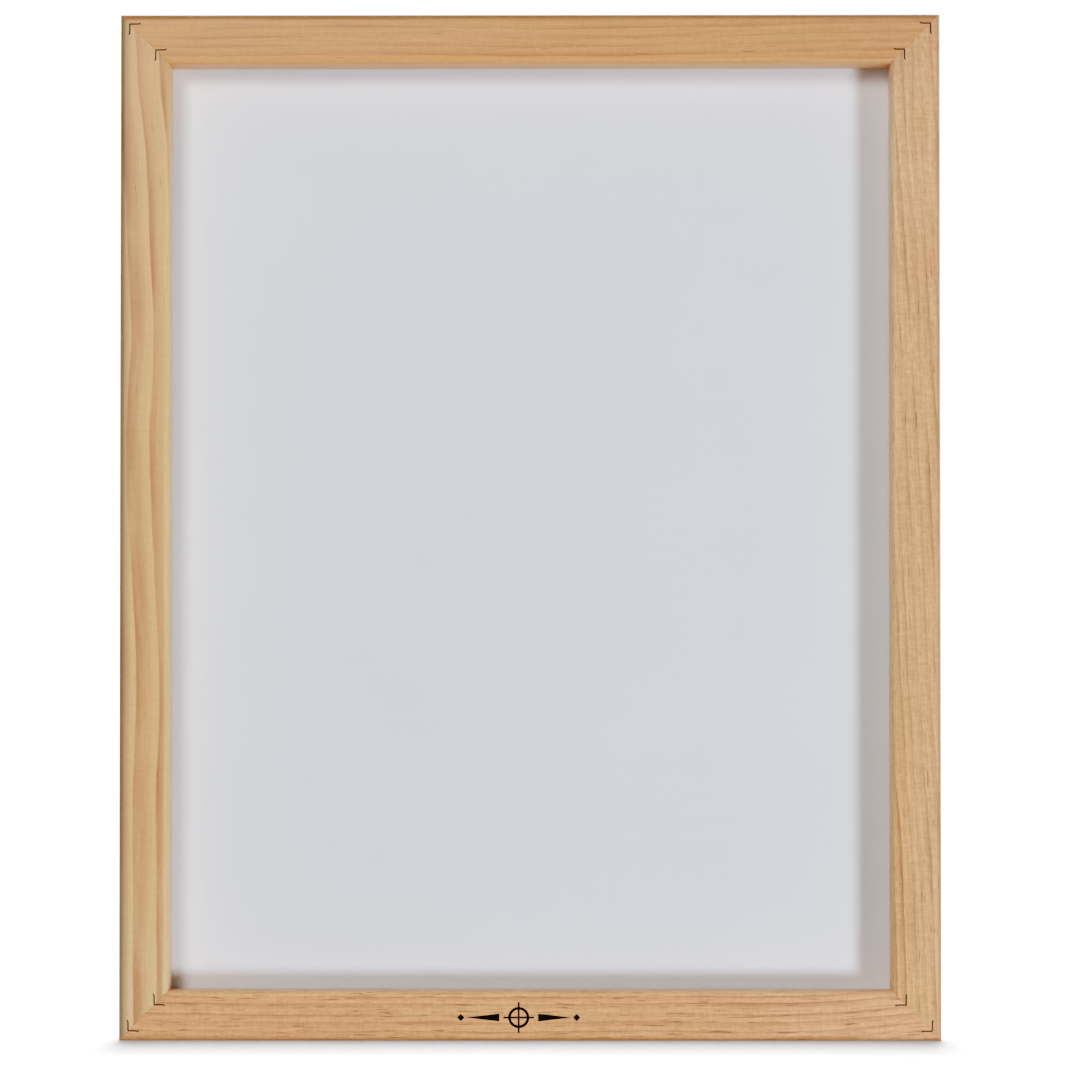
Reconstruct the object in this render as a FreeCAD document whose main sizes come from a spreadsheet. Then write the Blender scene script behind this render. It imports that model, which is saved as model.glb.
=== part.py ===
import FreeCAD, Part
import Sketcher
import os

# A wooden screen printing frame, standing on its bottom rail: four mitred rails, V-nails across the
# mitres, and a screen fabric that splines hold in a groove on the print side.
#
# Millimetres. +X is to the right as seen from the squeegee side, +Y runs from the squeegee side to the
# print side, and +Z is up. The origin is the middle of the bottom of the whole frame's box.
#
# Every rail and spline is modelled the same way and then turned into place: its length along X, its
# outer edge at z = 0, its inner edge below, and y = 0 at the middle of the wood's thickness.

doc = FreeCAD.newDocument("screen_printing_frame")

DIMENSIONS = {
    "frame_width": 406.4,  # outer, 16 in
    "frame_height": 508.0,  # outer, 20 in
    "rail_width": 24.5,  # a rail's face, from outer to inner edge
    "rail_depth": 28.5,  # a rail's thickness, from squeegee side to print side
    "front_round": 3.0,  # arrises on the squeegee side
    "back_round": 1.5,  # arrises on the print side
    "groove_inset": 12.0,  # from a rail's outer edge to the middle of its groove
    "groove_width": 4.5,
    "groove_depth": 5.0,
    "mesh_thickness": 0.2,
    "mesh_tail": 3.0,  # fabric left outside the groove
    "spline_diameter": 4.0,
    "spline_sink": 0.7,  # from the print side down to a spline's crown
    "spline_gap": 0.3,  # between splines that meet at a corner
    "nail_thickness": 0.5,
    "nail_depth": 12.0,  # how far a V-nail reaches into the wood
    "nail_sink": 0.3,  # from the squeegee side down to a V-nail's top
    "nail_leg": 4.6,  # the straight part of one leg
    "nail_curl": 1.0,  # how far a leg's tip turns outwards
    "outer_nail_inset": 4.4,  # from the rails' outer edges to the outer V-nail's point
    "inner_nail_inset": 17.3,  # and to the inner V-nail's point
}

QUARTER_TURN = 90.0
TURN_AXIS = FreeCAD.Vector(0, 1, 0)
CUT_MARGIN = 1.0  # how far a cutting outline reaches outside the wood
PLACE_TOLERANCE = 1e-4

# Places that several sub-parts share, as expressions. Y is across the wood's thickness.
FRONT = "-Sizes.rail_depth / 2"
BACK = "Sizes.rail_depth / 2"
INNER_EDGE = "-Sizes.rail_width"
HALF_WIDTH = "Sizes.frame_width / 2"
HALF_HEIGHT = "Sizes.frame_height / 2"
GROOVE_OUTER = "(Sizes.groove_inset - Sizes.groove_width / 2)"
GROOVE_INNER = "(Sizes.groove_inset + Sizes.groove_width / 2)"
WOOD_MIDDLE = "-Sizes.mesh_thickness / 2"

# The frame's sides, clockwise from the top: rail, spline, length, and where the outer edge's middle is.
SIDES = (
    ("top_rail", "spline_top", "Sizes.frame_width", ("0", "Sizes.frame_height")),
    ("right_stile", "spline_right", "Sizes.frame_height", (HALF_WIDTH, HALF_HEIGHT)),
    ("bottom_rail", "spline_bottom", "Sizes.frame_width", ("0", "0")),
    ("left_stile", "spline_left", "Sizes.frame_height", (f"-{HALF_WIDTH}", HALF_HEIGHT)),
)

# The corners, clockwise from the top left: name, x and z, and the signs that lead into the frame.
CORNERS = (
    ("top_left", f"-{HALF_WIDTH}", "Sizes.frame_height", (1, -1)),
    ("top_right", HALF_WIDTH, "Sizes.frame_height", (-1, -1)),
    ("bottom_right", HALF_WIDTH, "0", (-1, 1)),
    ("bottom_left", f"-{HALF_WIDTH}", "0", (1, 1)),
)


def make_sheet():
    """The spreadsheet of driving dimensions, a name and a number in each row."""
    sizes = doc.addObject("Spreadsheet::Sheet", "Sizes")
    for row, (alias, number) in enumerate(DIMENSIONS.items(), start=1):
        sizes.set(f"A{row}", alias)
        sizes.set(f"B{row}", str(number))
        sizes.setAlias(f"B{row}", alias)
    doc.recompute()
    return sizes


sheet = make_sheet()


def value(expression):
    """The number that an expression has with the sheet's present dimensions."""
    return float(sheet.evalExpression(expression))


def make_body(label):
    body = doc.addObject("PartDesign::Body", label)
    body.Label = label
    return body


def place_body(body, turns, x, z):
    """Turns a body by quarter turns about Y, and moves it to an x and a z given as expressions."""
    turn = FreeCAD.Rotation(TURN_AXIS, turns * QUARTER_TURN)
    body.Placement = FreeCAD.Placement(FreeCAD.Vector(), turn)
    body.setExpression(".Placement.Base.x", x)
    body.setExpression(".Placement.Base.y", WOOD_MIDDLE)
    body.setExpression(".Placement.Base.z", z)


def make_sketch(body, name, role, offset="0"):
    """A sketch on one of the body's origin planes, moved along the plane's normal by an expression."""
    sketch = body.newObject("Sketcher::SketchObject", name)
    plane = next(p for p in body.Origin.OriginFeatures if p.Role == role)
    sketch.AttachmentSupport = [(plane, "")]
    sketch.MapMode = "FlatFace"
    sketch.setExpression(".AttachmentOffset.Base.z", offset)
    return sketch


def pin_point(sketch, geometry, point, place):
    """Fixes one point of the sketch at a place given as two expressions."""
    for kind, expression in zip(("DistanceX", "DistanceY"), place):
        constraint = Sketcher.Constraint(kind, -1, 1, geometry, point, value(expression))
        number = sketch.addConstraint(constraint)
        sketch.setExpression(f"Constraints[{number}]", expression)


def add_outline(sketch, corners):
    """A closed outline of straight lines through corners, each given as two expressions."""
    points = [FreeCAD.Vector(value(across), value(along), 0) for across, along in corners]
    lines = []
    for start, end in zip(points, points[1:] + points[:1]):
        lines.append(sketch.addGeometry(Part.LineSegment(start, end)))
    for line, following in zip(lines, lines[1:] + lines[:1]):
        sketch.addConstraint(Sketcher.Constraint("Coincident", line, 2, following, 1))
    for line, corner in zip(lines, corners):
        pin_point(sketch, line, 1, corner)


def add_ring_line(sketch, inset):
    """A rectangle round the frame, inset from the frame's outer edges by an expression."""
    left = f"{inset} - {HALF_WIDTH}"
    right = f"{HALF_WIDTH} - {inset}"
    top = f"Sizes.frame_height - {inset}"
    add_outline(sketch, [(left, inset), (right, inset), (right, top), (left, top)])


def pad(body, sketch, name, length, symmetric=False, backwards=False):
    feature = body.newObject("PartDesign::Pad", name)
    feature.Profile = sketch
    feature.Midplane = symmetric
    feature.Reversed = backwards
    feature.setExpression("Length", length)
    doc.recompute()
    return feature


def pocket(body, sketch, name, depth, symmetric=False, backwards=False):
    """Cuts the sketch's outlines into the body, and fails if nothing comes away."""
    volume_before = body.Shape.Volume
    feature = body.newObject("PartDesign::Pocket", name)
    feature.Profile = sketch
    feature.Midplane = symmetric
    feature.Reversed = backwards
    feature.setExpression("Length", depth)
    doc.recompute()
    if body.Shape.Volume >= volume_before:
        raise RuntimeError(f"{name} cuts nothing from {body.Label}")
    return feature


def long_edges(shape, y):
    """The names of a stick's outer and inner long edges on the face at this y."""
    names = []
    for number, edge in enumerate(shape.Edges, start=1):
        ends = [vertex.Point for vertex in edge.Vertexes]
        at_face = all(abs(end.y - y) < PLACE_TOLERANCE for end in ends)
        level = abs(ends[0].z - ends[1].z) < PLACE_TOLERANCE
        at_side = min(abs(ends[0].z), abs(ends[0].z - value(INNER_EDGE))) < PLACE_TOLERANCE
        if at_face and level and at_side:
            names.append(f"Edge{number}")
    return names


def round_long_edges(body, base, name, face, radius):
    feature = body.newObject("PartDesign::Fillet", name)
    feature.Base = (base, long_edges(base.Shape, value(face)))
    feature.setExpression("Radius", radius)
    doc.recompute()
    return feature


def nail_leg_outline():
    """One leg of a V-nail past its point: how far along the leg, and how far into the V."""
    leg = "Sizes.nail_leg"
    curl = "Sizes.nail_curl"
    slant = "Sizes.nail_thickness / sqrt(2)"
    bend = "Sizes.nail_thickness * tan(22.5)"
    return [
        (leg, "0"),
        (f"{leg} + {curl}", f"-{curl}"),
        (f"{leg} + {curl} + {slant}", f"{slant} - {curl}"),
        (f"{leg} + {bend}", "Sizes.nail_thickness"),
    ]


def add_kerf(sketch, half_length, inset, side):
    """The slot of one leg in one end of a rail, from just past the mitre to the leg's tip."""
    start = (f"-{CUT_MARGIN}", "0")
    end = (f"Sizes.nail_thickness - {CUT_MARGIN}", "Sizes.nail_thickness")
    corners = []
    for along, inward in [start] + nail_leg_outline() + [end]:
        x = f"{side} * ({half_length} - {inset} - ({along}))"
        z = f"-{inset} - ({inward})"
        corners.append((x, z))
    add_outline(sketch, corners)


def add_mitre(sketch, half_length, side):
    """The triangle that a mitre takes off one end of a rail."""
    end = f"{side} * ({half_length} + {CUT_MARGIN})"
    inner_end = f"{side} * ({half_length} - Sizes.rail_width - {CUT_MARGIN})"
    below = f"{INNER_EDGE} - {CUT_MARGIN}"
    add_outline(sketch, [(end, f"{CUT_MARGIN}"), (end, below), (inner_end, below)])


def make_rail(label, turns, length, place):
    """A rail: rounded stick with a groove on the print side, mitred ends, and kerfs for V-nails."""
    body = make_body(label)
    groove_floor = f"{BACK} - Sizes.groove_depth"
    section = [
        (FRONT, "0"),
        (BACK, "0"),
        (BACK, f"-{GROOVE_OUTER}"),
        (groove_floor, f"-{GROOVE_OUTER}"),
        (groove_floor, f"-{GROOVE_INNER}"),
        (BACK, f"-{GROOVE_INNER}"),
        (BACK, INNER_EDGE),
        (FRONT, INNER_EDGE),
    ]
    section_lines = make_sketch(body, f"{label}_section", "YZ_Plane")
    add_outline(section_lines, section)
    stick = pad(body, section_lines, f"{label}_stick", length, symmetric=True)
    fronts = round_long_edges(body, stick, f"{label}_front_arrises", FRONT, "Sizes.front_round")
    round_long_edges(body, fronts, f"{label}_back_arrises", BACK, "Sizes.back_round")

    half_length = f"{length} / 2"
    mitre_lines = make_sketch(body, f"{label}_mitre_lines", "XZ_Plane")
    kerf_lines = make_sketch(body, f"{label}_kerf_lines", "XZ_Plane", "Sizes.rail_depth / 2")
    for side in (1, -1):
        add_mitre(mitre_lines, half_length, side)
        add_kerf(kerf_lines, half_length, "Sizes.outer_nail_inset", side)
        add_kerf(kerf_lines, half_length, "Sizes.inner_nail_inset", side)
    through = f"Sizes.rail_depth + 2 * {CUT_MARGIN}"
    pocket(body, mitre_lines, f"{label}_mitres", through, symmetric=True)
    pocket(body, kerf_lines, f"{label}_kerfs", "Sizes.nail_depth + Sizes.nail_sink")
    place_body(body, turns, *place)
    return body


def make_v_nail(label, turns, x, z):
    """A V-nail: a bent strip whose point is at the local origin, with legs along +X and -Z."""
    body = make_body(label)
    leg = nail_leg_outline()
    leg_along_x = [(along, f"-({inward})") for along, inward in leg]
    leg_along_z = [(inward, f"-({along})") for along, inward in reversed(leg)]
    crook = ("Sizes.nail_thickness", "-Sizes.nail_thickness")
    top = "Sizes.rail_depth / 2 - Sizes.nail_sink"
    outline = make_sketch(body, f"{label}_outline", "XZ_Plane", top)
    add_outline(outline, [("0", "0")] + leg_along_x + [crook] + leg_along_z)
    pad(body, outline, f"{label}_strip", "Sizes.nail_depth", backwards=True)
    place_body(body, turns, x, z)
    return body


def make_mesh_fabric():
    """The fabric: a flat panel on the print side, tucked into the groove, with a tail outside it."""
    body = make_body("mesh_fabric")
    panel_lines = make_sketch(body, "panel_lines", "XZ_Plane", FRONT)
    add_ring_line(panel_lines, f"({GROOVE_OUTER} - Sizes.mesh_tail)")
    pad(body, panel_lines, "panel", "Sizes.mesh_thickness", backwards=True)

    tuck_lines = make_sketch(body, "tuck_lines", "XZ_Plane", FRONT)
    add_ring_line(tuck_lines, GROOVE_OUTER)
    add_ring_line(tuck_lines, GROOVE_INNER)
    pad(body, tuck_lines, "tuck", "Sizes.groove_depth")

    channel_top = f"{FRONT} - Sizes.mesh_thickness"
    channel_lines = make_sketch(body, "channel_lines", "XZ_Plane", channel_top)
    add_ring_line(channel_lines, f"({GROOVE_OUTER} + Sizes.mesh_thickness)")
    add_ring_line(channel_lines, f"({GROOVE_INNER} - Sizes.mesh_thickness)")
    pocket(body, channel_lines, "channel", "Sizes.groove_depth", backwards=True)
    place_body(body, 0, "0", "0")
    return body


def make_spline(label, turns, length, place):
    """A round spline pressed into its rail's groove. It lies where the rail's own groove is."""
    body = make_body(label)
    centre = (f"{BACK} - Sizes.spline_sink - Sizes.spline_diameter / 2", "-Sizes.groove_inset")
    radius = value("Sizes.spline_diameter / 2")
    middle = FreeCAD.Vector(value(centre[0]), value(centre[1]), 0)
    section = make_sketch(body, f"{label}_section", "YZ_Plane")
    circle = section.addGeometry(Part.Circle(middle, FreeCAD.Vector(0, 0, 1), radius))
    number = section.addConstraint(Sketcher.Constraint("Radius", circle, radius))
    section.setExpression(f"Constraints[{number}]", "Sizes.spline_diameter / 2")
    pin_point(section, circle, 3, centre)
    pad(body, section, f"{label}_round", length, symmetric=True)
    place_body(body, turns, *place)
    return body


def spline_length(side_length, turns):
    """The splines of the top and bottom run through the corners; those of the stiles end between."""
    centres = f"{side_length} - 2 * Sizes.groove_inset"
    if turns % 2 == 0:
        return f"{centres} + Sizes.spline_diameter"
    return f"{centres} - Sizes.spline_diameter - 2 * Sizes.spline_gap"


def make_frame():
    """Every sub-part of the frame, each a body of its own."""
    parts = []
    for turns, (rail, spline, length, place) in enumerate(SIDES):
        parts.append(make_rail(rail, turns, length, place))
        parts.append(make_spline(spline, turns, spline_length(length, turns), place))
    for turns, (corner, x, z, (inward_x, inward_z)) in enumerate(CORNERS):
        for row in ("outer", "inner"):
            inset = f"Sizes.{row}_nail_inset"
            nail_x = f"{x} + {inward_x} * {inset}"
            nail_z = f"{z} + {inward_z} * {inset}"
            parts.append(make_v_nail(f"v_nail_{corner}_{row}", turns, nail_x, nail_z))
    parts.append(make_mesh_fabric())
    doc.recompute()
    return parts


def check_and_write(parts):
    """Stops at any failed object or bad shape, then writes one file for each sub-part."""
    for item in doc.Objects:
        if "Invalid" in item.State or "Error" in item.State:
            raise RuntimeError(f"{item.Label} failed: {item.State}")
    for part in parts:
        shape = part.Shape
        if shape.isNull() or not shape.isValid() or len(shape.Solids) != 1:
            raise RuntimeError(f"{part.Label} is not one valid solid")
    os.makedirs("parts", exist_ok=True)
    for part in parts:
        part.Shape.exportStep(os.path.join("parts", f"{part.Label}.step"))


check_and_write(make_frame())
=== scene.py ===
import math

import bmesh
import bpy
from mathutils import Matrix, Vector, noise


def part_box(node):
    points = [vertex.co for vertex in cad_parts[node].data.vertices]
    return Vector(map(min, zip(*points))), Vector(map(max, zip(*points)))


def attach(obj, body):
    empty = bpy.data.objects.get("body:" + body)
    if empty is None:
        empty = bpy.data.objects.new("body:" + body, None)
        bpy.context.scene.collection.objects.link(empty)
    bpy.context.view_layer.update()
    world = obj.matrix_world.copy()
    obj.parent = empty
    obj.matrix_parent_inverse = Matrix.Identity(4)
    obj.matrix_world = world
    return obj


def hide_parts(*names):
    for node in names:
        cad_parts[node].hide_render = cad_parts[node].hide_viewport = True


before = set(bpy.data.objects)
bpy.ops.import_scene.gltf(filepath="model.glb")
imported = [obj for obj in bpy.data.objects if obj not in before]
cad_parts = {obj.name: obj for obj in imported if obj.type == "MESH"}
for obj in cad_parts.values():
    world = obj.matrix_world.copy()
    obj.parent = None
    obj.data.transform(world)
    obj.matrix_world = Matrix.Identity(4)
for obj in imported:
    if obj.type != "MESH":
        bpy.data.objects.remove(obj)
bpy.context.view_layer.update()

# A wooden screen printing frame, standing on its bottom rail, seen from its squeegee side.
# Metres, +X to the right, +Y from the squeegee side to the print side, +Z up.

MM = 0.001
QUARTER_TURN = math.pi / 2

# Places and sizes that the frame gives.
TOP_LOW, TOP_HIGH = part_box("top_rail")
CLOTH_LOW, CLOTH_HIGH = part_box("mesh_fabric")
SPLINE_LOW, SPLINE_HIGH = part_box("spline_top")
NAIL_LOW, NAIL_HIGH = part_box("v_nail_top_left_outer")
HALF_WIDTH = TOP_HIGH.x
HEIGHT = TOP_HIGH.z
RAIL_WIDTH = TOP_HIGH.z - TOP_LOW.z
FRONT = TOP_LOW.y
BACK = TOP_HIGH.y
CLOTH_BACK = CLOTH_HIGH.y
GROOVE_FLOOR = CLOTH_LOW.y
SPLINE_RADIUS = (SPLINE_HIGH.z - SPLINE_LOW.z) / 2
GROOVE_INSET = HEIGHT - (SPLINE_HIGH.z + SPLINE_LOW.z) / 2
TAIL_INSET = HEIGHT - CLOTH_HIGH.z

# Sizes of the looks.
FRONT_ROUND = 3.0 * MM
BACK_ROUND = 1.5 * MM
GROOVE_WIDTH = 4.5 * MM
GROOVE_ROUND = 0.3 * MM
SEAM_EASE = 0.16 * MM
PLANING_BROAD = 0.035 * MM
PLANING_FINE = 0.012 * MM
PLANING_DEPTH = 0.045 * MM
NAIL_THICKNESS = 0.5 * MM
NAIL_LEG = 4.5 * MM
NAIL_CURL = 1.0 * MM
NAIL_EASE = 0.08 * MM
KERF_SPACE = 0.09 * MM
KERF_DEPTH_SPACE = 0.2 * MM
KERF_OVERSHOOT = 1.0 * MM
KERF_EASE = 0.01 * MM
CLOTH_THICKNESS = 0.12 * MM
MARK_THICKNESS = 0.14 * MM
SECTION_STEP = 3.5 * MM
RING_STEP = 6 * MM
TINY = 0.004 * MM

# The camera's response: the light below which shadows sink, how soon highlights roll off, and the light
# that it shows as white.
FILM_TOE = 0.06
FILM_SHOULDER = 0.65
FILM_WHITE = 2.45

CAMERA_PLACE = (0.041, FRONT - 3.21, 0.154)
CAMERA_TARGET = (0.005, FRONT, 0.24715)
CAMERA_LENS = 216.43
ROOM_LIGHT = 0.028
SUN_COUNT = 8
SUN_POWER = 1.12
SUN_DEGREES = 3.2

# How many features a metre holds of each material's texture.
STEEL_SPECKLE = 1200.0
CLOTH_CLOUDS = 16.0
CLOTH_THREADS = 700.0
COTTON_FUZZ = 900.0

# The frame's sides, clockwise from the top, and the corners, clockwise from the top left.
SIDES = (
    ("top", "top_rail", 2 * HALF_WIDTH, Vector((0, 0, HEIGHT))),
    ("right", "right_stile", HEIGHT, Vector((HALF_WIDTH, 0, HEIGHT / 2))),
    ("bottom", "bottom_rail", 2 * HALF_WIDTH, Vector((0, 0, 0))),
    ("left", "left_stile", HEIGHT, Vector((-HALF_WIDTH, 0, HEIGHT / 2))),
)
CORNERS = ("top_left", "top_right", "bottom_right", "bottom_left")


# ---------------------------------------------------------------- helpers

def side_matrix(turns, middle):
    """From a rail's own space, length along X and outer edge at z = 0, to its place in the frame."""
    return Matrix.Translation(middle) @ Matrix.Rotation(turns * QUARTER_TURN, 4, "Y")


def new_piece(name, mesh, material, slot_name, *replaced):
    """A piece of the object on its only body, with its material and the CAD nodes that it stands for."""
    piece = bpy.data.objects.new(name, mesh)
    bpy.context.scene.collection.objects.link(piece)
    mesh.materials.clear()
    mesh.materials.append(material)
    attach(piece, "root")
    if replaced:
        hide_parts(*replaced)
    return piece


def finish_mesh(form, name, sharp_degrees=35):
    """Turns a bmesh into a mesh, smooth except across edges sharper than the angle."""
    bmesh.ops.recalc_face_normals(form, faces=form.faces)
    limit = math.radians(sharp_degrees)
    for face in form.faces:
        face.smooth = True
    for edge in form.edges:
        edge.smooth = len(edge.link_faces) == 2 and edge.calc_face_angle(0) < limit
    mesh = bpy.data.meshes.new(name)
    form.to_mesh(mesh)
    form.free()
    return mesh


def applied(mesh, modifiers):
    """The mesh with modifiers applied, each a (kind, settings) pair."""
    holder = bpy.data.objects.new("holder", mesh)
    bpy.context.scene.collection.objects.link(holder)
    for kind, settings in modifiers:
        modifier = holder.modifiers.new(kind.lower(), kind)
        for key, setting in settings.items():
            setattr(modifier, key, setting)
    graph = bpy.context.evaluated_depsgraph_get()
    result = bpy.data.meshes.new_from_object(holder.evaluated_get(graph))
    result.name = mesh.name
    bpy.data.objects.remove(holder)
    return result


class Graph:
    """A material's node tree, with short calls that add linked nodes."""

    def __init__(self, name):
        self.material = bpy.data.materials.new(name)
        self.material.use_nodes = True
        self.tree = self.material.node_tree
        self.tree.nodes.clear()

    def add(self, kind, sockets=None, **settings):
        node = self.tree.nodes.new(kind)
        for key, setting in settings.items():
            setattr(node, key, setting)
        for key, given in (sockets or {}).items():
            if isinstance(given, bpy.types.NodeSocket):
                self.tree.links.new(given, node.inputs[key])
            else:
                node.inputs[key].default_value = given
        return node

    def math(self, operation, *values, clamp=False):
        sockets = dict(enumerate(values))
        return self.add("ShaderNodeMath", sockets, operation=operation, use_clamp=clamp).outputs[0]

    def vector(self, x, y, z):
        return self.add("ShaderNodeCombineXYZ", {0: x, 1: y, 2: z}).outputs[0]

    def noise(self, place, detail=2.0, roughness=0.5):
        sockets = {"Vector": place, "Scale": 1.0, "Detail": detail, "Roughness": roughness}
        return self.add("ShaderNodeTexNoise", sockets).outputs["Fac"]

    def ramp(self, factor, stops, interpolation="LINEAR"):
        """A colour for a factor from 0 to 1, from (place, colour) stops."""
        node = self.add("ShaderNodeValToRGB", {0: factor})
        ramp = node.color_ramp
        ramp.interpolation = interpolation
        while len(ramp.elements) < len(stops):
            ramp.elements.new(0.5)
        for element, (place, colour) in zip(ramp.elements, stops):
            element.position = place
            element.color = (*colour, 1.0)
        return node.outputs["Color"]

    def level(self, factor, low, high):
        """A number that goes from 0 at low to 1 at high."""
        sockets = {0: factor, 1: low, 2: high, 3: 0.0, 4: 1.0}
        return self.add("ShaderNodeMapRange", sockets).outputs[0]

    def mix(self, factor, first, second, blend="MIX"):
        sockets = {0: factor, 6: first, 7: second}
        node = self.add("ShaderNodeMix", sockets, data_type="RGBA", blend_type=blend)
        return node.outputs[2]

    def bump(self, height, strength, distance):
        sockets = {"Height": height, "Strength": strength, "Distance": distance}
        return self.add("ShaderNodeBump", sockets).outputs[0]

    def finish(self, shader):
        self.add("ShaderNodeOutputMaterial", {"Surface": shader})
        return self.material


def linear(red, green, blue):
    """A colour given as 0 to 255 on screen, as the light that it stands for."""
    return tuple(((v / 255 + 0.055) / 1.055) ** 2.4 if v > 10 else v / 3294 for v in (red, green, blue))


def grey(level):
    return (level, level, level, 1.0)


# ---------------------------------------------------------------- materials

def pine(
    name, along, pith, ring_gap, first_ring, swerve, drift, seed,
    early, late, sharpness, bands, fibres, ripple, dashes, rich, outer_arris_shade, tints, eye=None,
):
    """Sawn pine, in mm along and across the rail. Rings run round a pith that lies along the rail, at
    pith = (across, depth), one of them first_ring away from it, and swerve, (along, across) points, is how
    far they wander on the way. sharpness says how narrow the late wood is and bands how dark, fibres and
    ripple how strong the fine streaks and the cross grain are, dashes the level above which resin canals
    show, and rich = (along, half length, across, half width, tint) is where the late wood is darkest.
    outer_arris_shade is where the outer arris is, how much painted shade darkens it, and how far in; the
    inner wall across from it is painted paler. tints, (start, end, colour), are how the wood's colour changes
    from one place along the rail to another. eye = (along, across, half length, half width, push) is a bud's
    trace that the grain parts round."""
    graph = Graph(name)
    place = graph.add("ShaderNodeTexCoord").outputs["Object"]
    scaled = graph.add("ShaderNodeVectorMath", {0: place, "Scale": 1 / MM}, operation="SCALE")
    split = graph.add("ShaderNodeSeparateXYZ", {0: scaled.outputs[0]})
    axes = dict(zip("xyz", split.outputs))
    length = graph.math("ADD", axes[along], 1000.0 * seed)
    across = axes["z" if along == "x" else "x"]
    depth = axes["y"]

    places, shifts = zip(*swerve)
    low, span = min(shifts), max(shifts) - min(shifts) + 0.001
    first, last = places[0], places[-1]
    stops = [((at - first) / (last - first), ((shift - low) / span,) * 3) for at, shift in swerve]
    bend = graph.ramp(graph.level(axes[along], first, last), stops, "CARDINAL")
    course = graph.math("SUBTRACT", across, graph.math("MULTIPLY_ADD", bend, span, low))
    if eye:
        eye_along, eye_across, eye_half_length, eye_half_width, push = eye
        u = graph.math("DIVIDE", graph.math("SUBTRACT", axes[along], eye_along), eye_half_length)
        v = graph.math("DIVIDE", graph.math("SUBTRACT", across, eye_across), eye_half_width)
        reach_squared = graph.math("MULTIPLY_ADD", u, u, graph.math("MULTIPLY_ADD", v, v, 1.0))
        near_eye = graph.math("POWER", reach_squared, -2.0)
        parting = graph.math("MULTIPLY", graph.math("MULTIPLY", v, near_eye), push)
        course = graph.math("SUBTRACT", course, parting)

    def stretched(along_scale, cross_scale, detail=2.0, roughness=0.5):
        """Noise that follows the grain, with one size along it and another across, in features per mm."""
        point = graph.vector(
            graph.math("MULTIPLY", length, along_scale),
            graph.math("MULTIPLY", course, cross_scale),
            graph.math("MULTIPLY", depth, cross_scale),
        )
        return graph.noise(point, detail, roughness)

    def swing(noise_level, amount):
        """Noise as a shift of up to about a quarter of amount either way."""
        return graph.math("MULTIPLY", graph.math("SUBTRACT", noise_level, 0.5), amount)

    slow = swing(stretched(0.012, 0.03), drift)
    quick = swing(stretched(0.06, 0.15), 0.2 * drift)
    wander = graph.math("ADD", slow, quick)
    ring_across = graph.math("ADD", graph.math("SUBTRACT", course, pith[0]), wander)
    ring_depth = graph.math("SUBTRACT", depth, pith[1])
    spoke = graph.vector(ring_across, ring_depth, 0.0)
    radius = graph.add("ShaderNodeVectorMath", {0: spoke}, operation="LENGTH").outputs["Value"]
    ring = graph.math("DIVIDE", graph.math("SUBTRACT", radius, first_ring), ring_gap)
    uneven = graph.noise(graph.vector(graph.math("MULTIPLY", ring, 0.7), seed, 0.0), 1.0)
    phase = graph.math("FRACT", graph.math("ADD", ring, swing(uneven, 0.9)))
    late_wood = graph.math("MULTIPLY", graph.math("POWER", phase, sharpness), graph.level(phase, 1.0, 0.93))

    # Painted light: the inner wall and its arrises are painted paler, with fainter grain than the other faces, in
    # place of the pale sheen that light gives them.
    outer, arris_shade_strength, reach = outer_arris_shade
    width = RAIL_WIDTH / MM
    inwards = graph.math("ABSOLUTE", graph.math("SUBTRACT", across, outer))
    painted_wall_light = graph.level(inwards, width - 3.0, width - 0.4)

    along_at, half_length, across_at, half_width, tint = rich
    off_centre = graph.vector(
        graph.math("DIVIDE", graph.math("SUBTRACT", axes[along], along_at), half_length),
        graph.math("DIVIDE", graph.math("SUBTRACT", across, across_at), half_width),
        0.0,
    )
    distance = graph.add("ShaderNodeVectorMath", {0: off_centre}, operation="LENGTH").outputs["Value"]
    richness = graph.level(distance, 1.0, 0.2)
    patchy = graph.level(stretched(0.014, 0.12, 3.0), 0.36, 0.62)
    uneven_strength = graph.math("MULTIPLY_ADD", patchy, 0.75, 0.08)
    strength = graph.math("ADD", uneven_strength, graph.math("MULTIPLY", richness, 0.5))
    # Painted light: the grain is faded on the inner wall.
    strength = graph.math("MULTIPLY", strength, graph.math("MULTIPLY_ADD", painted_wall_light, -0.65, 1.0))
    band = graph.math("MULTIPLY", graph.math("MULTIPLY", late_wood, strength), bands, clamp=True)
    colour = graph.mix(band, (*early, 1.0), (*late, 1.0))
    colour = graph.mix(graph.math("MULTIPLY", richness, tint), colour, (1.0, 0.95, 0.87, 1.0), "MULTIPLY")

    if eye:
        colour = graph.mix(graph.math("MULTIPLY", near_eye, 0.8), colour, (1.0, 0.9, 0.78, 1.0), "MULTIPLY")

    tone = graph.level(stretched(0.011, 0.09, 3.0), 0.3, 0.7)
    tone_stops = [(0.0, (1.0, 0.95, 0.94)), (1.0, (0.965, 0.99, 0.93))]
    colour = graph.mix(1.0, colour, graph.ramp(tone, tone_stops), "MULTIPLY")

    streak = stretched(0.03, 0.85, 2.0)
    fine = stretched(0.3, 1.5, 3.0, 0.65)
    cross_length = graph.math("MULTIPLY", length, 0.75)
    cross_course = graph.math("MULTIPLY", course, 0.2)
    cross = graph.noise(graph.vector(cross_length, cross_course, depth), 2.0)
    for level, amount in ((streak, fibres), (fine, 1.2 * fibres), (cross, ripple)):
        factor = graph.math("MULTIPLY_ADD", graph.math("SUBTRACT", level, 0.5), 2 * amount, 1.0)
        shade = graph.vector(factor, graph.math("POWER", factor, 1.25), graph.math("POWER", factor, 1.6))
        colour = graph.mix(1.0, colour, shade, "MULTIPLY")

    canal = graph.level(stretched(0.08, 1.35, 1.0), dashes, dashes + 0.05)
    canal_depth = graph.math("MULTIPLY", canal, graph.math("MULTIPLY_ADD", late_wood, 0.25, 0.6))
    colour = graph.mix(canal_depth, colour, (*linear(132, 70, 34), 1.0))

    # Painted shade: the front outer arris is darkened towards a grey brown, most on the left and top rails.
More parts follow.
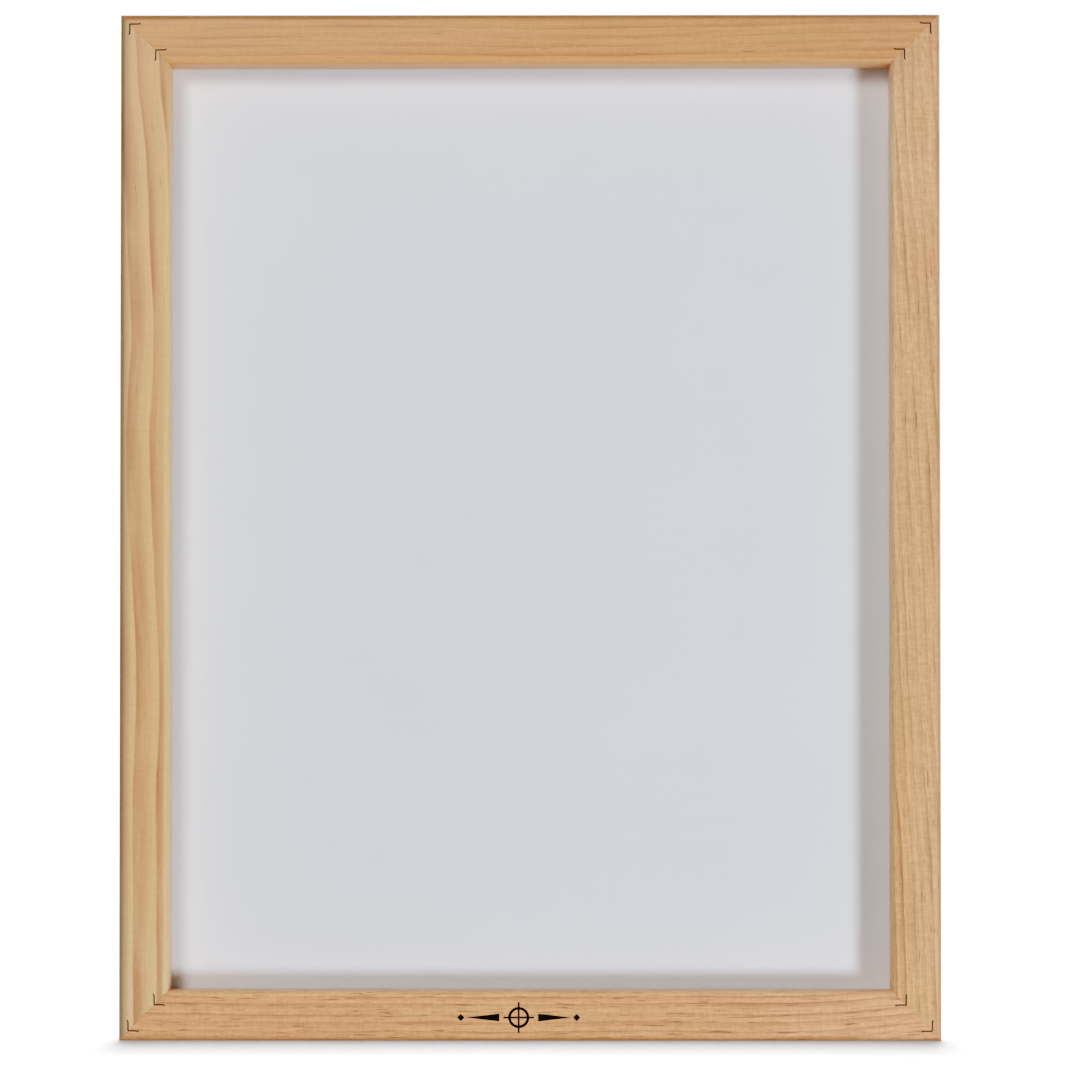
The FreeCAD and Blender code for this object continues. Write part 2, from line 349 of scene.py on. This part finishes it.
    from_front = graph.math("SUBTRACT", depth, FRONT / MM)
    from_arris = graph.vector(graph.math("SUBTRACT", across, outer), from_front, 0.0)
    inset = graph.add("ShaderNodeVectorMath", {0: from_arris}, operation="LENGTH").outputs["Value"]
    painted_arris_shade = graph.math("MULTIPLY", graph.level(inset, reach, reach / 3), arris_shade_strength)
    colour = graph.mix(painted_arris_shade, colour, (*linear(112, 84, 62), 1.0))
    for start, end, change in tints:
        colour = graph.mix(graph.level(axes[along], start, end), colour, (*change, 1.0), "MULTIPLY")
    # Painted light: the inner wall's colour is lifted paler and greyer.
    colour = graph.mix(painted_wall_light, colour, (1.14, 1.34, 1.5, 1.0), "MULTIPLY")

    height = graph.math("MULTIPLY_ADD", fine, 0.6, graph.math("MULTIPLY", band, 0.3))
    shader = graph.add(
        "ShaderNodeBsdfPrincipled",
        {
            "Base Color": colour,
            "Roughness": graph.level(fine, -0.8, 2.0),
            "Specular IOR Level": 0.5,
            "Normal": graph.bump(height, 0.3, 0.05 * MM),
        },
    )
    return graph.finish(shader.outputs[0])


def dark_steel():
    """Oxidised strip steel, almost black, with a few paler rubbed patches."""
    graph = Graph("dark_steel")
    place = graph.add("ShaderNodeTexCoord").outputs["Object"]
    point = graph.add("ShaderNodeVectorMath", {0: place, "Scale": STEEL_SPECKLE}, operation="SCALE").outputs[0]
    mottle = graph.noise(point, 3.0, 0.6)
    colour = graph.ramp(mottle, [(0.35, linear(14, 10, 7)), (0.75, linear(44, 31, 20))])
    shader = graph.add(
        "ShaderNodeBsdfPrincipled",
        {
            "Base Color": colour,
            "Metallic": 0.1,
            "Specular IOR Level": 0.25,
            "Roughness": graph.level(mottle, -0.6, 1.3),
            "Normal": graph.bump(mottle, 0.3, 0.05 * MM),
        },
    )
    return graph.finish(shader.outputs[0])


def screen_cloth():
    """Fine pale cloth: part of the light goes through its holes, part through its threads."""
    graph = Graph("screen_cloth")
    place = graph.add("ShaderNodeTexCoord").outputs["Object"]
    split = graph.add("ShaderNodeSeparateXYZ", {0: place})
    x, _, z = split.outputs
    cloud_point = graph.add("ShaderNodeVectorMath", {0: place, "Scale": CLOTH_CLOUDS}, operation="SCALE").outputs[0]
    clouds = graph.noise(cloud_point, 3.0, 0.55)
    warp_point = graph.vector(graph.math("MULTIPLY", x, CLOTH_THREADS), 0.0, graph.math("MULTIPLY", z, 6.0))
    weft_point = graph.vector(graph.math("MULTIPLY", x, 6.0), 3.0, graph.math("MULTIPLY", z, CLOTH_THREADS))
    warp = graph.noise(warp_point, 2.0)
    weft = graph.noise(weft_point, 2.0)
    threads = graph.math("ADD", warp, weft)
    tone = graph.math("MULTIPLY_ADD", threads, 0.22, graph.math("MULTIPLY", clouds, 0.56))
    colour = graph.ramp(tone, [(0.2, (0.80, 0.82, 0.875)), (0.8, (0.85, 0.87, 0.925))])
    face = graph.add(
        "ShaderNodeBsdfPrincipled",
        {
            "Base Color": colour,
            "Roughness": 0.5,
            "Specular IOR Level": 0.25,
            "Normal": graph.bump(threads, 0.15, 0.05 * MM),
        },
    )
    glow = graph.add("ShaderNodeBsdfTranslucent", {"Color": (0.82, 0.82, 0.85, 1.0)})
    threads_shader = graph.add("ShaderNodeMixShader", {0: 0.05, 1: face.outputs[0], 2: glow.outputs[0]})
    holes = graph.add("ShaderNodeBsdfTransparent", {"Color": grey(1.0)})
    shader = graph.add("ShaderNodeMixShader", {0: 0.05, 1: threads_shader.outputs[0], 2: holes.outputs[0]})
    return graph.finish(shader.outputs[0])


def braided_cotton():
    """Off-white braid: strand by strand a little lighter or darker."""
    graph = Graph("braided_cotton")
    place = graph.add("ShaderNodeTexCoord").outputs["Object"]
    point = graph.add("ShaderNodeVectorMath", {0: place, "Scale": COTTON_FUZZ}, operation="SCALE").outputs[0]
    fibres = graph.noise(point, 4.0, 0.65)
    colour = graph.ramp(fibres, [(0.25, linear(205, 198, 182)), (0.7, linear(242, 238, 227))])
    shader = graph.add(
        "ShaderNodeBsdfPrincipled",
        {
            "Base Color": colour,
            "Roughness": 0.85,
            "Sheen Weight": 0.25,
            "Sheen Roughness": 0.4,
            "Normal": graph.bump(fibres, 0.4, 0.08 * MM),
        },
    )
    return graph.finish(shader.outputs[0])


def printed_ink():
    """Black ink printed on bare wood, thin enough in places for the fibre to show."""
    graph = Graph("printed_ink")
    place = graph.add("ShaderNodeTexCoord").outputs["Object"]
    split = graph.add("ShaderNodeSeparateXYZ", {0: place})
    x, _, z = split.outputs
    point = graph.vector(graph.math("MULTIPLY", x, 160.0), 0.0, graph.math("MULTIPLY", z, 2600.0))
    fibre = graph.noise(point, 2.0)
    colour = graph.ramp(fibre, [(0.6, linear(11, 10, 9)), (0.95, linear(40, 30, 22))])
    shader = graph.add(
        "ShaderNodeBsdfPrincipled",
        {"Base Color": colour, "Roughness": 0.65, "Specular IOR Level": 0.08},
    )
    return graph.finish(shader.outputs[0])


PINES = {
    "top": pine(
        "pine_top", "x", pith=(900, 120), ring_gap=4.3, first_ring=0.0,
        swerve=((-203, 0.0), (-60, 0.3), (40, 0.0), (140, 2.2), (203, 3.0)), drift=3.0, seed=1.3,
        early=linear(216, 147, 90), late=linear(170, 104, 50), sharpness=2.0, bands=0.8,
        fibres=0.16, ripple=0.09, dashes=0.73, rich=(0, 330, 484, 11, 1.0), outer_arris_shade=(508, 0.3, 4.0),
        tints=((90, 180, (0.99, 1.02, 1.13)),),
    ),
    "right": pine(
        "pine_right", "z", pith=(-150, 190), ring_gap=4.1, first_ring=97.65,
        swerve=((0, 26.0), (130, 19.5), (270, 12.5), (400, 5.0), (508, -2.0)), drift=5.0, seed=4.1,
        early=linear(223, 165, 115), late=linear(168, 111, 63), sharpness=3.0, bands=1.15,
        fibres=0.28, ripple=0.2, dashes=0.69, rich=(85, 135, 181.5, 9, 1.0), outer_arris_shade=(203.2, 0.1, 3.0),
        tints=(
            (390, 430, (1.04, 1.1, 1.22)),
            (465, 490, (0.93, 0.85, 0.8)),
            (60, 20, (1.05, 1.04, 1.0)),
        ),
        eye=(456, 193, 16, 5, 4.0),
    ),
    "bottom": pine(
        "pine_bottom", "x", pith=(-700, 190), ring_gap=4.1, first_ring=0.0,
        swerve=((-203, 1.0), (-120, 0.0), (60, -0.4), (150, 0.6), (203, 5.0)), drift=3.0, seed=7.7,
        early=linear(234, 163, 110), late=linear(177, 107, 62), sharpness=2.6, bands=0.95,
        fibres=0.27, ripple=0.16, dashes=0.64, rich=(100, 120, 14, 16, 0.0), outer_arris_shade=(0, 0.0, 3.0),
        tints=((30, 190, (1.04, 1.1, 1.24)),),
    ),
    "left": pine(
        "pine_left", "z", pith=(-34, 60), ring_gap=9.46, first_ring=168.1,
        swerve=(
            (0, 0.0), (60, -0.3), (124, 0.0), (173, 1.2), (215, -0.5), (252, -2.5), (300, -3.9),
            (345, -1.5), (385, -3.1), (420, -4.7), (445, -6.1), (467, -9.0), (494, -10.8), (508, -12.2),
        ),
        drift=3.0, seed=2.9,
        early=linear(230, 180, 125), late=linear(181, 115, 66), sharpness=1.7, bands=1.0,
        fibres=0.11, ripple=0.08, dashes=0.745, rich=(250, 600, -186, 22, 1.0), outer_arris_shade=(-203.2, 0.6, 5.8),
        tints=((90, 15, (1.06, 1.16, 1.32)), (440, 490, (0.93, 0.9, 0.87))),
    ),
}
STEEL = dark_steel()
CLOTH = screen_cloth()
COTTON = braided_cotton()
INK = printed_ink()


# ---------------------------------------------------------------- rails

def arc_points(corner, before, after, radius, steps):
    """Points round a corner between two straight sides, tangent to both."""
    into = (before - corner).normalized()
    out = (after - corner).normalized()
    half_angle = into.angle(out) / 2
    reach = radius / math.tan(half_angle)
    centre = corner + (into + out).normalized() * radius / math.sin(half_angle)
    start = corner + into * reach - centre
    turn = math.pi - 2 * half_angle
    way = 1 if into.cross(out) < 0 else -1
    return [centre + Matrix.Rotation(way * turn * i / steps, 2) @ start for i in range(steps + 1)]


def section_outline(corners, spacing):
    """A closed outline with rounded corners, (point, radius) each, and points along its straight sides."""
    arcs = []
    for i, (corner, radius) in enumerate(corners):
        before, after = corners[i - 1][0], corners[(i + 1) % len(corners)][0]
        steps = 8 if radius > MM else 3
        arcs.append(arc_points(corner, before, after, radius, steps))
    outline = []
    for i, arc in enumerate(arcs):
        outline += arc
        start, end = arc[-1], arcs[(i + 1) % len(arcs)][0]
        straight = (end - start).length
        support = min(0.4 * MM, straight / 4)
        count = max(1, round((straight - 2 * support) / spacing))
        for k in range(count + 1):
            along = support + (straight - 2 * support) * k / count
            outline.append(start.lerp(end, along / straight))
    return outline


def shrunk(outline, amount):
    """The outline moved inwards by amount along its normals."""
    moved = []
    for i, point in enumerate(outline):
        tangent = (outline[(i + 1) % len(outline)] - outline[i - 1]).normalized()
        moved.append(point - Vector((tangent.y, -tangent.x)) * amount)
    return moved


def outline_area(outline):
    return sum(a.cross(b) for a, b in zip(outline, outline[1:] + outline[:1])) / 2


def planing(place):
    """How far planing and sanding leave the wood shy of flat, in metres, as a move along its normal."""
    broad = noise.noise(Vector((place.x * 9, place.y * 30, place.z * 9)))
    fine = noise.noise(Vector((place.x * 60, place.y * 90, place.z * 60)) + Vector((7, 3, 5)))
    return PLANING_BROAD * broad + PLANING_FINE * fine - PLANING_DEPTH


def rail_mesh(side, turns, length, middle):
    """A rail as a stick of one section with mitred ends, its arrises and mitre edges eased."""
    half_groove = GROOVE_WIDTH / 2
    corners = [
        (Vector((FRONT, 0)), FRONT_ROUND),
        (Vector((BACK, 0)), BACK_ROUND),
        (Vector((BACK, half_groove - GROOVE_INSET)), GROOVE_ROUND),
        (Vector((GROOVE_FLOOR, half_groove - GROOVE_INSET)), GROOVE_ROUND),
        (Vector((GROOVE_FLOOR, -half_groove - GROOVE_INSET)), GROOVE_ROUND),
        (Vector((BACK, -half_groove - GROOVE_INSET)), GROOVE_ROUND),
        (Vector((BACK, -RAIL_WIDTH)), BACK_ROUND),
        (Vector((FRONT, -RAIL_WIDTH)), FRONT_ROUND),
    ]
    outline = section_outline(corners, SECTION_STEP)
    inwards = 1 if outline_area(outline) > 0 else -1
    inner = shrunk(outline, inwards * SEAM_EASE)
    to_place = side_matrix(turns, middle)
    ring_count = round(length / RING_STEP)
    rings = []
    form = bmesh.new()
    for step in range(-1, ring_count + 2):
        at_end = step in (-1, ring_count + 1)
        station = min(max(step, 0), ring_count) / ring_count * 2 - 1
        section = inner if at_end else outline
        ring = []
        for y, z in section:
            reach = length / 2 + z - (0.0 if at_end else SEAM_EASE)
            point = to_place @ Vector((station * reach, y, z))
            ring.append(form.verts.new(point))
        rings.append(ring)
    for first, second in zip(rings, rings[1:]):
        for i in range(len(outline)):
            form.faces.new((first[i - 1], first[i], second[i], second[i - 1]))
    form.faces.new(rings[0])
    form.faces.new(reversed(rings[-1]))
    bmesh.ops.recalc_face_normals(form, faces=form.faces)
    form.normal_update()
    moves = [(v, v.normal * planing(v.co)) for ring in rings[1:-1] for v in ring]
    for vertex, move in moves:
        vertex.co += move
    return finish_mesh(form, f"{side}_wood")


# ---------------------------------------------------------------- V-nails

def nail_path():
    """The middle line of a V-nail from tip to tip: legs along +X and -Z with curled tips."""
    curl_radius = 1.3 * MM
    curl_turn = math.radians(52)
    curl_steps = 6
    middle = NAIL_THICKNESS / 2
    leg = []
    for i in range(curl_steps, 0, -1):
        angle = curl_turn * i / curl_steps
        leg.append((NAIL_LEG + curl_radius * math.sin(angle), middle - curl_radius * (1 - math.cos(angle))))
    leg.append((NAIL_LEG, middle))
    leg.append((NAIL_LEG * 0.5, middle + 0.05 * MM))
    leg.append((middle + 0.35 * MM, middle))
    bend = [(middle + 0.1 * MM, middle + 0.1 * MM)]
    return [Vector(p) for p in leg + bend + [(b, a) for a, b in reversed(leg)]]


def strip_outline(path, half):
    """The closed outline of a strip of constant thickness along the path."""
    left, right = [], []
    for i, point in enumerate(path):
        tangent = (path[min(i + 1, len(path) - 1)] - path[max(i - 1, 0)]).normalized()
        side = Vector((tangent.y, -tangent.x)) * half
        left.append(point + side)
        right.append(point - side)
    return left + right[::-1]


def strip_mesh(name, outline, low, high, ease, to_place):
    """The outline drawn from y = low to y = high, its ends eased."""
    form = bmesh.new()
    inner = shrunk(outline, ease if outline_area(outline) > 0 else -ease)
    rings = []
    for y, line in ((low, inner), (low + ease, outline), (high - ease, outline), (high, inner)):
        rings.append([form.verts.new(to_place @ Vector((along, y, -inward))) for along, inward in line])
    for first, second in zip(rings, rings[1:]):
        for i in range(len(outline)):
            form.faces.new((first[i - 1], first[i], second[i], second[i - 1]))
    form.faces.new(rings[0])
    form.faces.new(reversed(rings[-1]))
    return finish_mesh(form, name)


def nail_places():
    """(node, placing matrix) of each V-nail, whose point is found from its CAD node's box."""
    for turns, corner in enumerate(CORNERS):
        for row in ("outer", "inner"):
            low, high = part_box(f"v_nail_{corner}_{row}")
            x = low.x + NAIL_CURL if turns in (0, 3) else high.x - NAIL_CURL
            z = high.z - NAIL_CURL if turns in (0, 1) else low.z + NAIL_CURL
            yield f"v_nail_{corner}_{row}", side_matrix(turns, Vector((x, 0, z)))


def make_v_nails():
    outline = strip_outline(nail_path(), NAIL_THICKNESS / 2)
    for node, to_place in nail_places():
        mesh = strip_mesh(f"{node}_strip", outline, NAIL_LOW.y, NAIL_HIGH.y, NAIL_EASE, to_place)
        new_piece(f"{node}_visual", mesh, STEEL, "nail_steel", node)


def kerf_cutter():
    """One mesh of every V-nail's slot, a little wider than the V-nails."""
    outline = strip_outline(nail_path(), NAIL_THICKNESS / 2 + KERF_SPACE)
    form = bmesh.new()
    low, high = FRONT - KERF_OVERSHOOT, NAIL_HIGH.y + KERF_DEPTH_SPACE
    for _, to_place in nail_places():
        slot = strip_mesh("slot", outline, low, high, KERF_EASE, to_place)
        form.from_mesh(slot)
        bpy.data.meshes.remove(slot)
    mesh = bpy.data.meshes.new("kerf_cutter")
    form.to_mesh(mesh)
    form.free()
    return mesh


def make_rails():
    cutter = bpy.data.objects.new("cutter", kerf_cutter())
    bpy.context.scene.collection.objects.link(cutter)
    for turns, (side, node, length, middle) in enumerate(SIDES):
        plain = rail_mesh(side, turns, length, middle)
        points_before = len(plain.vertices)
        cut = applied(plain, [("BOOLEAN", {"operation": "DIFFERENCE", "object": cutter, "solver": "EXACT"})])
        if len(cut.vertices) < points_before:
            raise RuntimeError(f"cutting the slots broke the {side} rail")
        form = bmesh.new()
        form.from_mesh(cut)
        bmesh.ops.dissolve_degenerate(form, dist=TINY, edges=form.edges)
        mesh = finish_mesh(form, f"{side}_rail_mesh")
        new_piece(f"{node}_visual", mesh, PINES[side], "pine", node)
    bpy.data.objects.remove(cutter)


# ---------------------------------------------------------------- cloth and splines

def cloth_path():
    """(inset, y) points of the cloth's edge, from inside the groove's inner lip out to its tail."""
    groove_half = GROOVE_WIDTH / 2 - 0.1 * MM
    inner = GROOVE_INSET + groove_half
    outer = GROOVE_INSET - groove_half
    surface = CLOTH_BACK - CLOTH_THICKNESS / 2
    spline_middle = (SPLINE_LOW.y + SPLINE_HIGH.y) / 2
    floor_y = GROOVE_FLOOR + 0.1 * MM
    points = [
        (RAIL_WIDTH - 1.2 * MM, surface),
        (inner + 3.0 * MM, surface),
        (inner + 0.9 * MM, surface - 0.01 * MM),
        (inner + 0.35 * MM, surface - 0.12 * MM),
        (inner + 0.08 * MM, surface - 0.45 * MM),
        (inner, surface - 1.1 * MM),
        (inner, spline_middle),
    ]
    steps = 8
    for i in range(1, steps):
        angle = math.pi * i / steps
        depth = (spline_middle - floor_y) * math.sin(angle)
        points.append((GROOVE_INSET + groove_half * math.cos(angle), spline_middle - depth))
    points += [
        (outer, spline_middle),
        (outer, surface - 1.1 * MM),
        (outer - 0.08 * MM, surface - 0.45 * MM),
        (outer - 0.35 * MM, surface - 0.12 * MM),
        (outer - 0.9 * MM, surface),
        (outer - 1.9 * MM, surface),
        (TAIL_INSET, surface),
    ]
    return points


def ring_points(inset, y, columns, rows):
    """Points round a rectangle inset from the frame's outer edges, from its bottom left corner."""
    half = HALF_WIDTH - inset
    low, high = inset, HEIGHT - inset
    corners = [(-half, low), (half, low), (half, high), (-half, high)]
    points = []
    for i, (x0, z0) in enumerate(corners):
        x1, z1 = corners[(i + 1) % 4]
        count = columns if i % 2 == 0 else rows
        for k in range(count):
            points.append(Vector((x0 + (x1 - x0) * k / count, y, z0 + (z1 - z0) * k / count)))
    return points


def make_cloth():
    """One sheet: a flat panel, its margin tucked round the splines, and a tail cut by hand outside."""
    columns, rows = 90, 112
    form = bmesh.new()
    path = cloth_path()
    rings = []
    for number, (inset, y) in enumerate(path):
        ring = []
        for point in ring_points(inset, y, columns, rows):
            if number == len(path) - 1:
                ragged = 0.5 * MM * noise.noise(point * 45) + 0.2 * MM * noise.noise(point * 300)
                middle = Vector((0, point.y, HEIGHT / 2))
                point += (middle - point).normalized() * ragged
            ring.append(form.verts.new(point))
        rings.append(ring)
    for first, second in zip(rings, rings[1:]):
        for i in range(len(first)):
            form.faces.new((first[i - 1], first[i], second[i], second[i - 1]))

    inset, y = path[0]
    half = HALF_WIDTH - inset
    low, high = inset, HEIGHT - inset
    grid = [[None] * (rows + 1) for _ in range(columns + 1)]
    edge = rings[0]
    for k in range(columns):
        grid[k][0] = edge[k]
        grid[columns - k][rows] = edge[columns + rows + k]
    for k in range(rows):
        grid[columns][k] = edge[columns + k]
        grid[0][rows - k] = edge[2 * columns + rows + k]
    for i in range(1, columns):
        for j in range(1, rows):
            x = -half + 2 * half * i / columns
            z = low + (high - low) * j / rows
            grid[i][j] = form.verts.new((x, y, z))
    for i in range(columns):
        for j in range(rows):
            form.faces.new((grid[i][j], grid[i + 1][j], grid[i + 1][j + 1], grid[i][j + 1]))
    sheet = finish_mesh(form, "cloth_sheet", 80)
    solid = applied(sheet, [("SOLIDIFY", {"thickness": CLOTH_THICKNESS, "offset": 0.0})])
    piece = new_piece("mesh_fabric_visual", solid, CLOTH, "screen_cloth", "mesh_fabric")


def make_splines():
    """Braided cord pressed into each groove: two sets of strands that cross over and under."""
    rounds = 28
    strands = 6
    lay = 7.0 * MM
    step = 0.55 * MM
    core, strand_height = 0.78, 0.2
    for turns, (side, *_) in enumerate(SIDES):
        low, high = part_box(f"spline_{side}")
        upright = turns % 2 == 1
        start, end = (low.z, high.z) if upright else (low.x, high.x)
        centre = (low + high) / 2
        count = round((end - start) / step)
        form = bmesh.new()
        rings = []
        for i in range(count + 1):
            along = start + (end - start) * i / count
            ring = []
            for k in range(rounds):
                angle = 2 * math.pi * k / rounds
                twist = 2 * math.pi * along / lay
                right_lay = math.cos(strands / 2 * angle - twist)
                left_lay = math.cos(strands / 2 * angle + twist)
                relief = abs(right_lay) if right_lay * left_lay > 0 else abs(left_lay)
                radius = SPLINE_RADIUS * (core + strand_height * relief)
                end_gap = min(i, count - i)
                radius *= (0.72, 0.92)[end_gap] if end_gap < 2 else 1.0
                across, deep = radius * math.cos(angle), radius * math.sin(angle)
                if upright:
                    ring.append(form.verts.new((centre.x + across, centre.y + deep, along)))
                else:
                    ring.append(form.verts.new((along, centre.y + deep, centre.z + across)))
            rings.append(ring)
        for first, second in zip(rings, rings[1:]):
            for i in range(rounds):
                form.faces.new((first[i - 1], first[i], second[i], second[i - 1]))
        form.faces.new(rings[0])
        form.faces.new(reversed(rings[-1]))
        mesh = finish_mesh(form, f"spline_{side}_braid", 70)
        new_piece(f"spline_{side}_visual", mesh, COTTON, "spline_cotton", f"spline_{side}")


# ---------------------------------------------------------------- printed mark

def flat_shape(form, outline, y):
    """A thin raised shape with the outline, (x, z) points, its face at y and its back in the wood."""
    thickness = MARK_THICKNESS
    front = [form.verts.new((x, y, z)) for x, z in outline]
    back = [form.verts.new((x, y + thickness, z)) for x, z in outline]
    form.faces.new(front)
    form.faces.new(reversed(back))
    for i in range(len(outline)):
        form.faces.new((front[i - 1], front[i], back[i], back[i - 1]))


def flat_ring(form, centre, radius, width, y):
    steps = 64
    thickness = MARK_THICKNESS
    loops = []
    for loop_radius, loop_y in (
        (radius, y), (radius - width, y), (radius - width, y + thickness), (radius, y + thickness),
    ):
        loop = []
        for k in range(steps):
            angle = 2 * math.pi * k / steps
            x = centre[0] + loop_radius * math.cos(angle)
            z = centre[1] + loop_radius * math.sin(angle)
            loop.append(form.verts.new((x, loop_y, z)))
        loops.append(loop)
    for i, loop in enumerate(loops):
        following = loops[(i + 1) % 4]
        for k in range(steps):
            form.faces.new((loop[k - 1], loop[k], following[k], following[k - 1]))


def make_mark():
    """A plain printer's register mark between tapered rules, in ink on the bottom rail."""
    form = bmesh.new()
    x0, z0 = -5.5 * MM, RAIL_WIDTH / 2 - 0.9 * MM
    y = FRONT
    flat_ring(form, (x0, z0), 5.2 * MM, 1.3 * MM, y)
    arm, thin = 7.6 * MM, 0.42 * MM
    for half_x, half_z in ((arm, thin), (thin, arm)):
        left, right, low, high = x0 - half_x, x0 + half_x, z0 - half_z, z0 + half_z
        flat_shape(form, [(left, low), (right, low), (right, high), (left, high)], y)
    for way in (-1, 1):
        near, far, thick = x0 + way * 9.6 * MM, x0 + way * 26.0 * MM, 1.9 * MM
        flat_shape(form, [(near, z0 - thick), (far, z0), (near, z0 + thick)][::way], y)
        tip, half = x0 + way * 28.6 * MM, 1.8 * MM
        flat_shape(form, [(tip - half, z0), (tip, z0 - half), (tip + half, z0), (tip, z0 + half)], y)
    mesh = finish_mesh(form, "mark_mesh")
    new_piece("printed_mark", mesh, INK, "pine")


# ---------------------------------------------------------------- stage

def make_floor():
    """A pale floor that goes white in the distance. It takes shadows, and blocks no light."""
    graph = Graph("pale_floor")
    paint = graph.add("ShaderNodeBsdfDiffuse", {"Color": grey(0.85)})
    glow = graph.add("ShaderNodeEmission", {"Color": grey(1.0), "Strength": 0.15})
    both = graph.add("ShaderNodeAddShader", {0: paint.outputs[0], 1: glow.outputs[0]})
    material = graph.finish(both.outputs[0])
    form = bmesh.new()
    bmesh.ops.create_grid(form, x_segments=1, y_segments=1, size=30.0)
    mesh = bpy.data.meshes.new("floor_mesh")
    form.to_mesh(mesh)
    form.free()
    mesh.materials.append(material)
    floor = bpy.data.objects.new("floor", mesh)
    bpy.context.scene.collection.objects.link(floor)
    floor.visible_shadow = False
    floor.visible_diffuse = False
    return floor


def aim(thing, target):
    thing.rotation_euler = (Vector(target) - thing.location).to_track_quat("-Z", "Y").to_euler()


def linked(light, things, state):
    """Keeps the light to the things, or off them, as the state says."""
    receivers = bpy.data.collections.new(f"{light.name}_receivers")
    for thing in things:
        receivers.objects.link(thing)
    for entry in receivers.collection_objects:
        entry.light_linking.link_state = state
    light.light_linking.receiver_collection = receivers


def add_light(name, kind, place, target, size, power, colour):
    data = bpy.data.lights.new(name, kind)
    data.energy = power
    data.color = colour
    if kind == "AREA":
        data.shape = "DISK"
        data.size = size
    else:
        data.angle = size
    light = bpy.data.objects.new(name, data)
    light.location = place
    bpy.context.scene.collection.objects.link(light)
    aim(light, target)
    light.visible_camera = False
    return light


def make_lights(floor):
    """Softboxes at the front's upper left and lower right, weaker ones behind, and a row of overhead suns
    that only the floor takes, so that it stays evenly white round the object's shadow."""
    centre = Vector((0, 0, HEIGHT / 2))
    warm = (1.0, 0.985, 0.96)
    boxes = (
        ("upper_left", (-0.76, -2.4, 0.82), 0.72, 47.0, (0.962, 0.966, 0.92)),
        ("lower_right", (1.54, -2.2, -0.94), 0.52, 71.0, (0.915, 0.975, 1.065)),
        ("back_left", (-1.3, 1.9, 0.9), 1.2, 62.0, warm),
        ("back_right", (1.7, 1.5, 0.5), 1.0, 36.0, warm),
        ("above", (0.2, 1.4, 1.8), 1.0, 44.0, warm),
    )
    for name, offset, size, power, colour in boxes:
        light = add_light(name, "AREA", centre + Vector(offset), centre, size, power, colour)
        linked(light, [floor], "EXCLUDE")
    sun_size = math.radians(SUN_DEGREES)
    for number in range(SUN_COUNT):
        lean = math.radians(1.2 + 2.4 * number)
        place = (0, math.sin(lean), math.cos(lean))
        sun = add_light(f"sun_{number}", "SUN", place, (0, 0, 0), sun_size, SUN_POWER, (1.0, 1.0, 1.0))
        linked(sun, [floor], "INCLUDE")


def make_world():
    """White to look at, dim as a light."""
    world = bpy.data.worlds.new("white_room")
    bpy.context.scene.world = world
    world.use_nodes = True
    tree = world.node_tree
    tree.nodes.clear()
    path = tree.nodes.new("ShaderNodeLightPath")
    seen = tree.nodes.new("ShaderNodeBackground")
    lighting = tree.nodes.new("ShaderNodeBackground")
    seen.inputs["Strength"].default_value = 1.1 * FILM_WHITE
    seen.inputs["Color"].default_value = grey(1.0)
    lighting.inputs["Strength"].default_value = ROOM_LIGHT
    lighting.inputs["Color"].default_value = (1.0, 0.93, 0.86, 1.0)
    mix = tree.nodes.new("ShaderNodeMixShader")
    output = tree.nodes.new("ShaderNodeOutputWorld")
    tree.links.new(path.outputs["Is Camera Ray"], mix.inputs[0])
    tree.links.new(lighting.outputs[0], mix.inputs[1])
    tree.links.new(seen.outputs[0], mix.inputs[2])
    tree.links.new(mix.outputs[0], output.inputs[0])


def make_film():
    """A camera's response: deep shadows, and highlights that roll off up to FILM_WHITE."""
    settings = bpy.context.scene.view_settings
    settings.view_transform = "Standard"
    settings.use_curve_mapping = True
    film = settings.curve_mapping
    film.white_level = (FILM_WHITE,) * 3
    curve = film.curves[3]
    slope = (1 + FILM_SHOULDER * FILM_WHITE) / FILM_WHITE
    for light in (0.04, 0.08, 0.13, 0.2, 0.3, 0.5, 0.75, 1.0, 1.35, 1.8):
        toe = light ** 2 / (light ** 2 + FILM_TOE ** 2)
        curve.points.new(light / FILM_WHITE, toe * slope * light / (1 + FILM_SHOULDER * light))
    film.update()


def make_camera():
    """Square on to the squeegee side, from a little low and to the right, through a long lens."""
    data = bpy.data.cameras.new("camera")
    data.sensor_width = 36.0
    data.lens = CAMERA_LENS
    data.clip_end = 100.0
    camera = bpy.data.objects.new("camera", data)
    bpy.context.scene.collection.objects.link(camera)
    camera.location = CAMERA_PLACE
    aim(camera, CAMERA_TARGET)
    bpy.context.scene.camera = camera


make_camera()
make_world()
make_lights(make_floor())
make_v_nails()
make_rails()
make_cloth()
make_splines()
make_mark()
make_film()
